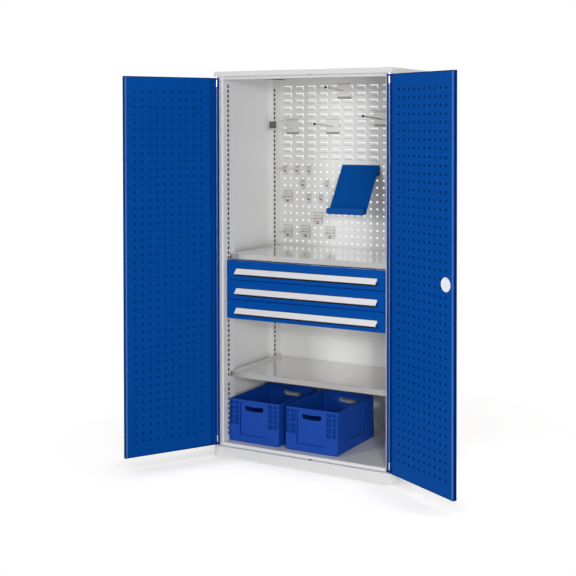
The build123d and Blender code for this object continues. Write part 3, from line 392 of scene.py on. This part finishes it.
# %% Mesh helpers
class Form:
    """A mesh under construction, in metres, in the frame's axes."""

    def __init__(self, name, finish):
        self.name = name
        self.finish = finish
        self.mesh = bmesh.new()

    def turned(self, profile, centre, axis="z", steps=24, closed=True):
        """A profile of (radius, height) points turned round an axis through a centre."""
        turn = {"z": Matrix.Identity(3), "x": Matrix.Rotation(math.radians(90.0), 3, "Y")}[axis]
        rings = []
        for radius, height in profile:
            ring = []
            for i in range(steps):
                angle = 2 * math.pi * i / steps
                spot = turn @ Vector((radius * math.cos(angle), radius * math.sin(angle), height))
                ring.append(self.mesh.verts.new(spot + Vector(centre)))
            rings.append(ring)
        pairs = list(zip(rings, rings[1:]))
        if closed:
            pairs.append((rings[-1], rings[0]))
        for first, second in pairs:
            for i in range(steps):
                k = (i + 1) % steps
                self.mesh.faces.new((first[i], first[k], second[k], second[i]))
        if not closed:
            self.mesh.faces.new(rings[0][::-1])
            self.mesh.faces.new(rings[-1])

    def pulled(self, outline, start, end, axis="z"):
        """An outline pulled along an axis; it is given in the other two axes, in order."""
        def spot(first, second, height):
            return {"z": (first, second, height), "y": (first, height, second),
                    "x": (height, first, second)}[axis]

        lower = [self.mesh.verts.new(spot(a, b, start)) for a, b in outline]
        upper = [self.mesh.verts.new(spot(a, b, end)) for a, b in outline]
        count = len(outline)
        for i in range(count):
            k = (i + 1) % count
            self.mesh.faces.new((lower[i], lower[k], upper[k], upper[i]))
        self.mesh.faces.new(lower[::-1])
        self.mesh.faces.new(upper)

    def placed(self, body, slot):
        """Turns the mesh into a piece that rides on a body."""
        bmesh.ops.recalc_face_normals(self.mesh, faces=self.mesh.faces)
        data = bpy.data.meshes.new(self.name)
        self.mesh.to_mesh(data)
        self.mesh.free()
        piece = bpy.data.objects.new(self.name, data)
        scene.collection.objects.link(piece)
        data.materials.append(self.finish)
        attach(piece, body)


MM = 0.001
FRONT = -0.300


def metres(x, y, z):
    """A place given in millimetres, with y counted from the front plane."""
    return (x * MM, FRONT + y * MM, z * MM)


print("mesh helpers ready")

# %% [markdown]
# ## Post linings
# The slots look dark in the photo, most likely because little light reaches the inside of the
# posts. A dark strip just behind each row of slots stands for that as painted shade; the photo
# doesn't show whether the real post holds one. Painting the slots black would be simpler, but a
# strip inside the post also looks right when the view changes.

# %% Post linings
POST_SHEET = 1.2
LINING_GAP = 0.5
LINING_SHEET = 1.0
LINING_LIP = 7.0
LINING_ENDS = (55.0, 1915.0)
# face: inner face of the slotted wall; reach: of the lining before and behind the slots;
# rim: width of a slot's rim at the front, at the back, and above and below
POSTS = (
    {"face": 460.0, "slot_y": 66.0, "top": 1877.6, "reach": (14.0, 40.0), "rim": (0.6, 3.4, 1.3)},
    {"face": 468.0, "slot_y": 522.0, "top": 1869.3, "reach": (12.0, 34.0), "rim": (1.6, 2.2, 1.6)},
)


def lining(form, side, post):
    """Folded dark strip behind the slots of one post, as painted shade."""
    inner = post["face"] + POST_SHEET + LINING_GAP
    outer = inner + LINING_SHEET
    lip = inner + LINING_LIP
    front, back = post["slot_y"] - post["reach"][0], post["slot_y"] + post["reach"][1]
    path = [(inner, front), (inner, back), (lip, back), (lip, back - LINING_SHEET),
            (outer, back - LINING_SHEET), (outer, front + LINING_SHEET),
            (lip, front + LINING_SHEET), (lip, front)]
    outline = [(side * x * MM, FRONT + y * MM) for x, y in path]
    form.pulled(outline, LINING_ENDS[0] * MM, LINING_ENDS[1] * MM)


# painted shade inside the posts
linings = Form("post_painted_shade_linings", shade_black)
for side in (-1, 1):
    for post in POSTS:
        lining(linings, side, post)
linings.placed("carcass", "pin_steel")
print("post linings", 2 * len(POSTS))

# %% [markdown]
# ## Slot rims
# The slots read larger and darker in the photo than the holes alone do in a render. A flat dark rim
# round each slot makes up for it, as painted shade. The rims are wider at the back. On the front
# posts that also makes up for slots that lie a little further back in the photo than in the frame.
# The rims are painted shade, drawn as lines, and no rim is known on the real post. A mask in the
# paint could draw them too, but a flat face needs no measuring in the shader and stays sharp.

# %% Slot rims
SLOT_HALF = (5.75, 6.5)
SLOT_PITCH = 25.0
SLOT_COUNT = 72
RIM_PROUD = 0.12
CORNERS = ((-1, -1), (1, -1), (1, 1), (-1, 1))


def slot_painted_shade_rims(form, side, post):
    """Flat dark rims of painted shade round the slots of one post, just in front of its face."""
    x = side * (post["face"] - RIM_PROUD) * MM
    front, back, level = post["rim"]
    for i in range(SLOT_COUNT):
        z = post["top"] - SLOT_PITCH * i
        loops = []
        for share in (0.0, 1.0):
            loop = []
            for a, b in CORNERS:
                y = post["slot_y"] + a * (SLOT_HALF[0] + (front if a < 0 else back) * share)
                height = z + b * (SLOT_HALF[1] + level * share)
                loop.append(form.mesh.verts.new((x, FRONT + y * MM, height * MM)))
            loops.append(loop)
        for k in range(4):
            n = (k + 1) % 4
            form.mesh.faces.new((loops[0][k], loops[0][n], loops[1][n], loops[1][k]))


# painted shade round each slot
rims = Form("slot_painted_shade_rims", shade_black)
for side in (-1, 1):
    for post in POSTS:
        slot_painted_shade_rims(rims, side, post)
rims.placed("carcass", "pin_steel")
print("slot rims", 2 * len(POSTS) * SLOT_COUNT)

# %% [markdown]
# ## Bushes, washers and weld marks
# Bushes for the lock rods in the plinth and under the cap, and washers above the door tubes, are
# guesses: the photo is too small to show either. The washers still cut a little into the door
# skins at rest. The photo does show faint round marks on a side wall, taken here for spot welds.
# They break up surfaces that would look too perfect. Cylinders could stand for all of them, but a
# turned profile gives each its own collar, chamfer or dome.

# %% Small turned pieces
ROD_HOLE = (55.0, 10.0)
PLINTH_LEDGE = 50.0
CAP_UNDERSIDE = 1925.0
HINGE_X = 488.0
HINGE_Y = 6.0
WASHER_LEVEL = 1875.15
WALL_FACE = 498.8
bush = [(4.7, 1.3), (4.7, -3.0), (5.7, -3.0), (5.7, 0.0), (8.6, 0.0), (8.6, 0.9), (8.1, 1.3)]
bushes = Form("keeper_bushes", black_plastic)
bushes.turned([(r * MM, h * MM) for r, h in bush], metres(*ROD_HOLE, PLINTH_LEDGE))
bushes.turned([(r * MM, -h * MM) for r, h in bush], metres(*ROD_HOLE, CAP_UNDERSIDE))
bushes.placed("carcass", "black_plastic")

washer = [(4.25, 0.0), (6.2, 0.0), (6.4, 0.2), (6.4, 0.7), (6.2, 0.9), (4.25, 0.9)]
washers = Form("hinge_washers", pin_zinc)
for side in (-1, 1):
    spot = metres(side * HINGE_X, HINGE_Y, WASHER_LEVEL)
    washers.turned([(r * MM, h * MM) for r, h in washer], spot)
washers.placed("carcass", "zinc_pin")

WELDS = ((373.0, 1617.0), (323.0, 1086.0), (381.0, 1030.0), (373.0, 620.0), (373.0, 240.0))
dome = [(6.5, 0.0), (6.2, 0.25), (4.8, 0.45), (2.4, 0.55), (0.6, 0.6)]
welds = Form("wall_weld_marks", grey_coat)
for side in (-1, 1):
    for y, z in WELDS:
        profile = [(r * MM, -side * h * MM) for r, h in dome]
        welds.turned(profile, metres(side * WALL_FACE, y, z), "x", 20, closed=False)
welds.placed("carcass", "grey_paint")
print("bushes 2, washers 2, weld marks", 2 * len(WELDS))

# %% [markdown]
# ## Edges of the doors
# In the photo each door has dark lines along its rim, a lighter band beside the free edge and a
# dark line beside the hinge tube. They are shade and light on the folds, finer than the frame's
# folds show. Thin strips draw them, laid on the doors and moving with them: dark navy strips as
# painted shade, a light blue one as a painted highlight. No real strip is known at any of these
# places.
# A mask in the door's paint could draw the lines too, but it would have to know where each door
# ends, and a strip is simply laid there.

# %% Door strips
LEFT_TURN = math.radians(-122.4)
RIGHT_TURN = math.radians(152.3)
DOOR_FACE = 14.0
DOOR_ENDS = (58.2, 1917.8)
RIM_LINE = 3.6
RIM_SPAN = (-9.5, 484.6)
LEFT_EDGE_LINE = (482.0, 484.6)
END_FACE = (486.05, 486.25)
END_FACE_ENDS = (60.0, 1916.0)
END_FACE_DEPTH = (-3.8, 12.0)
FOLD_ENDS = (62.5, 1913.5)
SEAM_SPAN = (6.5, 10.5)
SEAM_ENDS = (104.0, 1872.0)
SEAM_DEPTH = (-3.95, -3.4)
FOLDS = ((-1, "left_door", (474.0, 481.5)), (1, "right_door", (475.0, 484.6)))


def on_door(side, s, o):
    """A place on an open door: s along it from the hinge, o towards its inner side."""
    turn = LEFT_TURN if side < 0 else RIGHT_TURN
    x = side * HINGE_X - side * s * math.cos(turn) - o * math.sin(turn)
    y = HINGE_Y - side * s * math.sin(turn) + o * math.cos(turn)
    return (x * MM, FRONT + y * MM)


def door_strip(form, side, span, ends, depth=(DOOR_FACE + 0.05, DOOR_FACE + 0.35)):
    """A thin strip on a door: span along it, ends in height, depth towards its inner side."""
    corners = ((span[0], depth[0]), (span[1], depth[0]), (span[1], depth[1]), (span[0], depth[1]))
    form.pulled([on_door(side, s, o) for s, o in corners], ends[0] * MM, ends[1] * MM)


for side, body, fold in FOLDS:
    # painted shade: dark navy lines along the rim and on the end face
    edge = Form(f"{body}_edge_shade", navy_painted_shade_coat)
    if side < 0:
        door_strip(edge, side, LEFT_EDGE_LINE, DOOR_ENDS)
    door_strip(edge, side, END_FACE, END_FACE_ENDS, END_FACE_DEPTH)
    door_strip(edge, side, RIM_SPAN, (DOOR_ENDS[1] - RIM_LINE, DOOR_ENDS[1]))
    door_strip(edge, side, RIM_SPAN, (DOOR_ENDS[0], DOOR_ENDS[0] + RIM_LINE))
    edge.placed(body, "blue_paint")
    # painted highlight: a light blue band along the fold
    bright = Form(f"{body}_fold_highlight", fold_painted_highlight_coat)
    door_strip(bright, side, fold, FOLD_ENDS)
    bright.placed(body, "blue_paint")
    # painted shade: a dark navy line in the seam beside the hinge tube
    seam_shade = Form(f"{body}_painted_seam_shade", navy_painted_shade_coat)
    door_strip(seam_shade, side, SEAM_SPAN, SEAM_ENDS, SEAM_DEPTH)
    seam_shade.placed(body, "tip_plastic")
print("door strips: left 6, right 5")

# %% [markdown]
# ## Grip lines
# The photo shows a thin dark line above each grip and a broader one below it: the grip's shade on
# the drawer front. A lamp from above might give such a shade, but it would change every other
# surface too, so two thin dark strips on the front draw it as painted shade, and a third paints the
# grip's lower edge dark as painted shade. No seals are known there.

# %% Grip lines
LINE_DEPTH = 0.4
LINE_INSET = 1.0
for name in ("upper", "middle", "lower"):
    grip_low, grip_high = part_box(f"drawer_{name}_grip")
    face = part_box(f"drawer_{name}_front")[0].y
    # painted shade above and below each grip and on its lower edge
    grip_shade = Form(f"drawer_{name}_grip_painted_shade", shade_black)
    for near, z0, z1 in ((face, grip_high.z + 0.1 * MM, grip_high.z + 3.0 * MM),
                         (face, grip_low.z - 9.8 * MM, grip_low.z - 1.0 * MM),
                         (grip_low.y, grip_low.z - 0.2 * MM, grip_low.z + 2.6 * MM)):
        proud = near - LINE_DEPTH * MM
        outline = [(proud, z0), (near, z0), (near, z1), (proud, z1)]
        grip_shade.pulled(outline, grip_low.x + LINE_INSET * MM, grip_high.x - LINE_INSET * MM, "x")
    grip_shade.placed(f"{name}_drawer", "tip_plastic")
print("grip lines", 3 * 3)

# %% [markdown]
# ## Pockets of the boxes
# The end walls of the boxes have pockets, crossed by thin ribs. In the photo the pockets are darker
# than the wall, so a darker plate on each floor stands for their shade, and a rib of the box's own
# plastic crosses the taller ones. The same plates draw the shade in the wide recess, along its
# left and lower edges.

# %% Pocket floors and ribs
BOX_LEAN = 6.0 / 215.0
POCKET_COLUMNS = ((88.0, 115.0), (122.0, 142.0))
POCKET_LEVELS = ((86.0, 136.0), (142.0, 184.0), (190.0, 205.0))
POCKET_PLAY = 0.3
FLOOR_DEPTHS = (4.2, 5.2)
RIB_DEPTHS = (0.4, 4.2)
RIB_HALF = 1.6
RIBBED_FROM = 20.0
SHADE_DEPTHS = (4.6, 5.2)
LEFT_SHADE = ((-81.8, -78.0), (37.4, 205.0))
LOWER_SHADE = ((-78.0, 81.0), (37.4, 40.2))


def wall_plate(form, low, middle, x_range, z_range, depths):
    """A plate in the leaning front wall of a box; x from its middle, z from its foot."""
    near, far = depths
    outline = []
    for z, depth in ((z_range[0], near), (z_range[0], far), (z_range[1], far), (z_range[1], near)):
        outline.append((low.y + (z * BOX_LEAN + depth) * MM, low.z + z * MM))
    form.pulled(outline, middle + x_range[0] * MM, middle + x_range[1] * MM, "x")


for name, body in (("box_left", "left_box"), ("box_right", "right_box")):
    low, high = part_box(name)
    middle = (low.x + high.x) / 2
    # painted shade: darker plates on the pocket floors and along the recess edges
    floors = Form(f"{name}_pocket_painted_shades", pocket_painted_shade_blue)
    ribs = Form(f"{name}_pocket_ribs", box_blue)
    for side in (-1, 1):
        for x0, x1 in POCKET_COLUMNS:
            across = sorted((side * x0, side * x1))
            inside = (across[0] + POCKET_PLAY, across[1] - POCKET_PLAY)
            for z0, z1 in POCKET_LEVELS:
                levels = (z0 + POCKET_PLAY, z1 - POCKET_PLAY)
                wall_plate(floors, low, middle, inside, levels, FLOOR_DEPTHS)
                if z1 - z0 > RIBBED_FROM:
                    rise = (z0 + z1) / 2
                    levels = (rise - RIB_HALF, rise + RIB_HALF)
                    wall_plate(ribs, low, middle, across, levels, RIB_DEPTHS)
    wall_plate(floors, low, middle, *LEFT_SHADE, SHADE_DEPTHS)
    wall_plate(floors, low, middle, *LOWER_SHADE, SHADE_DEPTHS)
    floors.placed(body, "box_plastic")
    ribs.placed(body, "box_plastic")
print("pocket floors with shade strips", 2 * 14, "pocket ribs", 2 * 8)

# %% [markdown]
# ## Small parts of the holders
# In the photo the plates on the perforated panel have fine dark lines across them and a faint
# outline, and the plates on the louvres have a broad dark line at the foot and a thin one at the
# top. Small creases, a thin backing, foot strips and hems draw these lines in dark greys, as
# painted shade; what the real plates have there is a guess. They could be dark stripes in the
# paint, but raised ones also look right from the side.

# %% Hook plates and louvre plates
PITCH = 38.0
FIRST_COLUMN = -437.0
TOP_ROW = 1462.9
BACK = 580.0
HOOKS = ((0, 0), (2, 0), (4, 0), (3, 2), (7, 2), (4, 4), (6, 4))
WIDE = ((0, 4), (5, 7), (0, 9), (3, 9), (7, 9))
HOOK_RIBS = ((21.0, 1.0), (27.0, 1.0))
WIDE_RIBS = ((-1.7, 0.9), (14.2, 2.0), (28.2, 0.9))
# half width, foot and head of a plate, measured from a hole of the panel, and its creases
HOOK_PLATE = (12.0, -15.0, 32.0, HOOK_RIBS)
WIDE_PLATE = (28.5, -16.0, 46.0, WIDE_RIBS)
PLATE_FACE = 2.5
CREASE_INSET = 1.0
BACKING_RIM = 1.3
BACKING_CORNER = 3.0
BACKING_SHEET = 0.5
# left, right, foot and head of each louvre plate
PLATES = ((-102, -21, 1822, 1900), (-170, -93, 1633, 1710), (120, 200, 1674, 1748),
          (-420, -343, 1631, 1710))
FOOT_INSET = 0.5
HEM_RADIUS = 0.9
HEM_DEPTH = 568.9
HEM_RISE = 0.3
HEM_INSET = 0.2


def rounded(x0, x1, z0, z1, radius, steps=4):
    """Outline of a rectangle with round corners, in metres."""
    corners = ((x1 - radius, z1 - radius, 0), (x0 + radius, z1 - radius, 90),
               (x0 + radius, z0 + radius, 180), (x1 - radius, z0 + radius, 270))
    outline = []
    for x, z, start in corners:
        for i in range(steps + 1):
            angle = math.radians(start + 90 * i / steps)
            along, rise = radius * math.cos(angle), radius * math.sin(angle)
            outline.append(((x + along) * MM, (z + rise) * MM))
    return outline


# painted shade: dark creases across the hook plates and a dark outline behind them
creases = Form("hook_plate_crease_shades", line_shade_grey)
plate_outline_shade = Form("holder_outline_shades", shade_black)
rib = [(0.0, -0.9), (-0.5, -0.5), (-0.7, 0.0), (-0.5, 0.5), (0.0, 0.9)]
for places, shift, plate in ((HOOKS, 0.0, HOOK_PLATE), (WIDE, PITCH / 2, WIDE_PLATE)):
    half, low, high, plate_ribs = plate
    for column, row in places:
        middle = FIRST_COLUMN + PITCH * column + shift
        z = TOP_ROW - PITCH * (row + 1)
        left, right = middle - half, middle + half
        for rise, size in plate_ribs:
            outline = [(FRONT + (BACK - PLATE_FACE + y * size) * MM, (z + rise + h * size) * MM)
                       for y, h in rib]
            creases.pulled(outline, (left + CREASE_INSET) * MM, (right - CREASE_INSET) * MM, "x")
        outline = rounded(left - BACKING_RIM, right + BACKING_RIM,
                          z + low - BACKING_RIM, z + high + BACKING_RIM, BACKING_CORNER)
        plate_outline_shade.pulled(outline, FRONT + (BACK - BACKING_SHEET) * MM, FRONT + BACK * MM, "y")
creases.placed("carcass", "hook_steel")
plate_outline_shade.placed("carcass", "hook_steel")

# painted shade: darker foot strips and top hems on the louvre plates
feet = Form("holder_foot_shades", foot_shade_grey)
hems = Form("holder_top_hem_shades", line_shade_grey)
eighths = [i * math.pi / 4 for i in range(8)]
hem = [(HEM_RADIUS * math.cos(angle), HEM_RADIUS * math.sin(angle)) for angle in eighths]
for x0, x1, z0, z1 in PLATES:
    strip = [(578.6, z0 - 0.9), (568.8, z0 + 8.0), (568.5, z0 + 10.5), (567.8, z0 + 10.5),
             (568.0, z0 + 7.4), (577.9, z0 - 1.8)]
    outline = [(FRONT + y * MM, z * MM) for y, z in strip]
    feet.pulled(outline, (x0 + FOOT_INSET) * MM, (x1 - FOOT_INSET) * MM, "x")
    outline = [(FRONT + (HEM_DEPTH + y) * MM, (z1 + HEM_RISE + h) * MM) for y, h in hem]
    hems.pulled(outline, (x0 + HEM_INSET) * MM, (x1 - HEM_INSET) * MM, "x")
feet.placed("carcass", "tip_plastic")
hems.placed("carcass", "tip_plastic")
print("hook plates", len(HOOKS) + len(WIDE), "louvre plates", len(PLATES))

# %% [markdown]
# ## Studio
# A white room with soft lamps at the front, one at the right flank, and the sky as fill. The floor
# takes the object's shadow. What the camera sees behind the cabinet is white because of the
# floor's and the sky's own colour, not because of more light: further from the cabinet the floor
# turns plain white. The lift would wash out the soft shade close to the cabinet, so an ambient
# occlusion share blends a grey back in there.

# %% Floor, sky and lamps
WHITE = (1.0, 1.0, 1.0)
FLOOR_TINT = (1.035, 0.99, 0.965)
CONTACT_TINT = (1.0, 0.985, 0.975)
CONTACT_REACH = 0.22
CONTACT_SHARE = 1.7
CONTACT_GREY = 0.58


def studio_floor(albedo, lift, reach):
    """A large pale floor that shows white to the camera and keeps the shadow."""
    finish = Finish("studio_floor")
    finish.set(Base_Color=shade(FLOOR_TINT, albedo), Roughness=0.9, Specular_IOR_Level=0.05)
    path = finish.node("ShaderNodeLightPath")
    seen = path.out("Is Camera Ray").larger(path.out("Is Glossy Ray"))
    seen = seen.larger(path.out("Is Transmission Ray"))
    shader = finish.shader.out()
    glow = finish.node("ShaderNodeEmission", {}, {"Color": WHITE, "Strength": lift}).out()
    near = finish.node("ShaderNodeAddShader", {}, {0: shader, 1: glow}).out()
    white = finish.node("ShaderNodeEmission", {}, {"Color": WHITE, "Strength": 1.0}).out()
    length = finish.node("ShaderNodeVectorMath", {"operation": "LENGTH"}, {0: finish.place()})
    share = ((length.out("Value") - reach[0]) / (reach[1] - reach[0])).clamped()
    shown = finish.node("ShaderNodeMixShader", {}, {0: share, 1: near, 2: white}).out()
    grey = {"Color": CONTACT_TINT, "Strength": CONTACT_GREY}
    shade_near = finish.node("ShaderNodeEmission", {}, grey).out()
    nearness = {"Distance": CONTACT_REACH}
    open_sky = finish.node("ShaderNodeAmbientOcclusion", {"samples": 8}, nearness).out("AO")
    contact = ((1.0 - open_sky) * CONTACT_SHARE).clamped()
    shown = finish.node("ShaderNodeMixShader", {}, {0: contact, 1: shown, 2: shade_near}).out()
    finish.show(finish.node("ShaderNodeMixShader", {}, {0: seen, 1: shader, 2: shown}))
    mesh = bpy.data.meshes.new("studio_floor")
    half = 30.0
    corners = [(-half, -half, 0), (half, -half, 0), (half, half, 0), (-half, half, 0)]
    mesh.from_pydata(corners, [], [(0, 1, 2, 3)])
    floor = bpy.data.objects.new("studio_floor", mesh)
    scene.collection.objects.link(floor)
    mesh.materials.append(finish.material)


def studio_sky(strength):
    """A world that is white to the camera and to mirrors, and a weaker fill light."""
    world = bpy.data.worlds.new("studio_sky")
    scene.world = world
    world.use_nodes = True
    sky = Shading(world.node_tree, "ShaderNodeOutputWorld")
    path = sky.node("ShaderNodeLightPath")
    seen = path.out("Is Camera Ray").larger(path.out("Is Glossy Ray"))
    fill = sky.node("ShaderNodeBackground", {}, {"Color": WHITE, "Strength": strength}).out()
    plain = sky.node("ShaderNodeBackground", {}, {"Color": WHITE, "Strength": 1.0}).out()
    sky.show(sky.node("ShaderNodeMixShader", {}, {0: seen, 1: fill, 2: plain}))


def softbox(name, place, target, size, power):
    """A square area lamp at a place, turned towards a target."""
    lamp = bpy.data.lights.new(name, "AREA")
    lamp.shape = "SQUARE"
    lamp.size = size
    lamp.energy = power
    holder = bpy.data.objects.new(name, lamp)
    scene.collection.objects.link(holder)
    holder.location = place
    aim = Vector(target) - Vector(place)
    holder.rotation_mode = "QUATERNION"
    holder.rotation_quaternion = aim.to_track_quat("-Z", "Y")


SKY = 0.05
LAMPS = {
    "left_softbox": ((-3.0, -6.0, 2.34), (0.0, 0.0, 1.0), 1.6, 138.0),
    "side_softbox": ((-5.5, -3.5, 2.2), (0.0, 0.0, 1.0), 1.6, 40.0),
    "right_softbox": ((3.9, -5.5, 2.31), (0.0, 0.0, 1.0), 1.8, 86.0),
    "key_lamp": ((3.9, -5.5, 2.31), (0.0, 0.0, 1.0), 0.35, 76.0),
    "low_softbox": ((4.2, -5.2, 0.9), (0.0, 0.0, 0.9), 1.6, 98.0),
    "flank_softbox": ((6.0, 1.6, 2.2), (0.5, 0.0, 1.4), 1.6, 150.0),
}
FLOOR_ALBEDO = 0.80
FLOOR_LIFT = 0.69
WHITE_BETWEEN = (0.85, 1.6)
studio_floor(FLOOR_ALBEDO, FLOOR_LIFT, WHITE_BETWEEN)
studio_sky(SKY)
for name, (place, target, size, power) in LAMPS.items():
    softbox(name, place, target, size, power)
print("lamps", len(LAMPS))

# %% [markdown]
# ## Camera
# The camera stands to the right at eye height and looks almost level, with a shifted picture, so
# the cabinet's upright edges stay nearly parallel. The place, the angle, the lens and the shift
# come from fitting the cabinet's corners to the photo. A camera set by eye would be quicker, but
# then few edges would lie where the photo has them.

# %% Camera
CAMERA_PLACE = (2.728, -4.842, 1.686)
CAMERA_YAW = 27.352
CAMERA_PITCH = -1.117
camera_data = bpy.data.cameras.new("camera")
camera_data.sensor_width = 36.0
camera_data.lens = 68.05
camera_data.shift_x = -0.139
camera_data.shift_y = -0.248
camera_data.clip_start = 0.1
camera_data.clip_end = 100.0
camera = bpy.data.objects.new("camera", camera_data)
scene.collection.objects.link(camera)
camera.location = CAMERA_PLACE
camera.rotation_euler = (math.radians(90.0 + CAMERA_PITCH), 0.0, math.radians(CAMERA_YAW))
scene.camera = camera
scene.view_settings.view_transform = "Standard"
print("camera", CAMERA_PLACE)
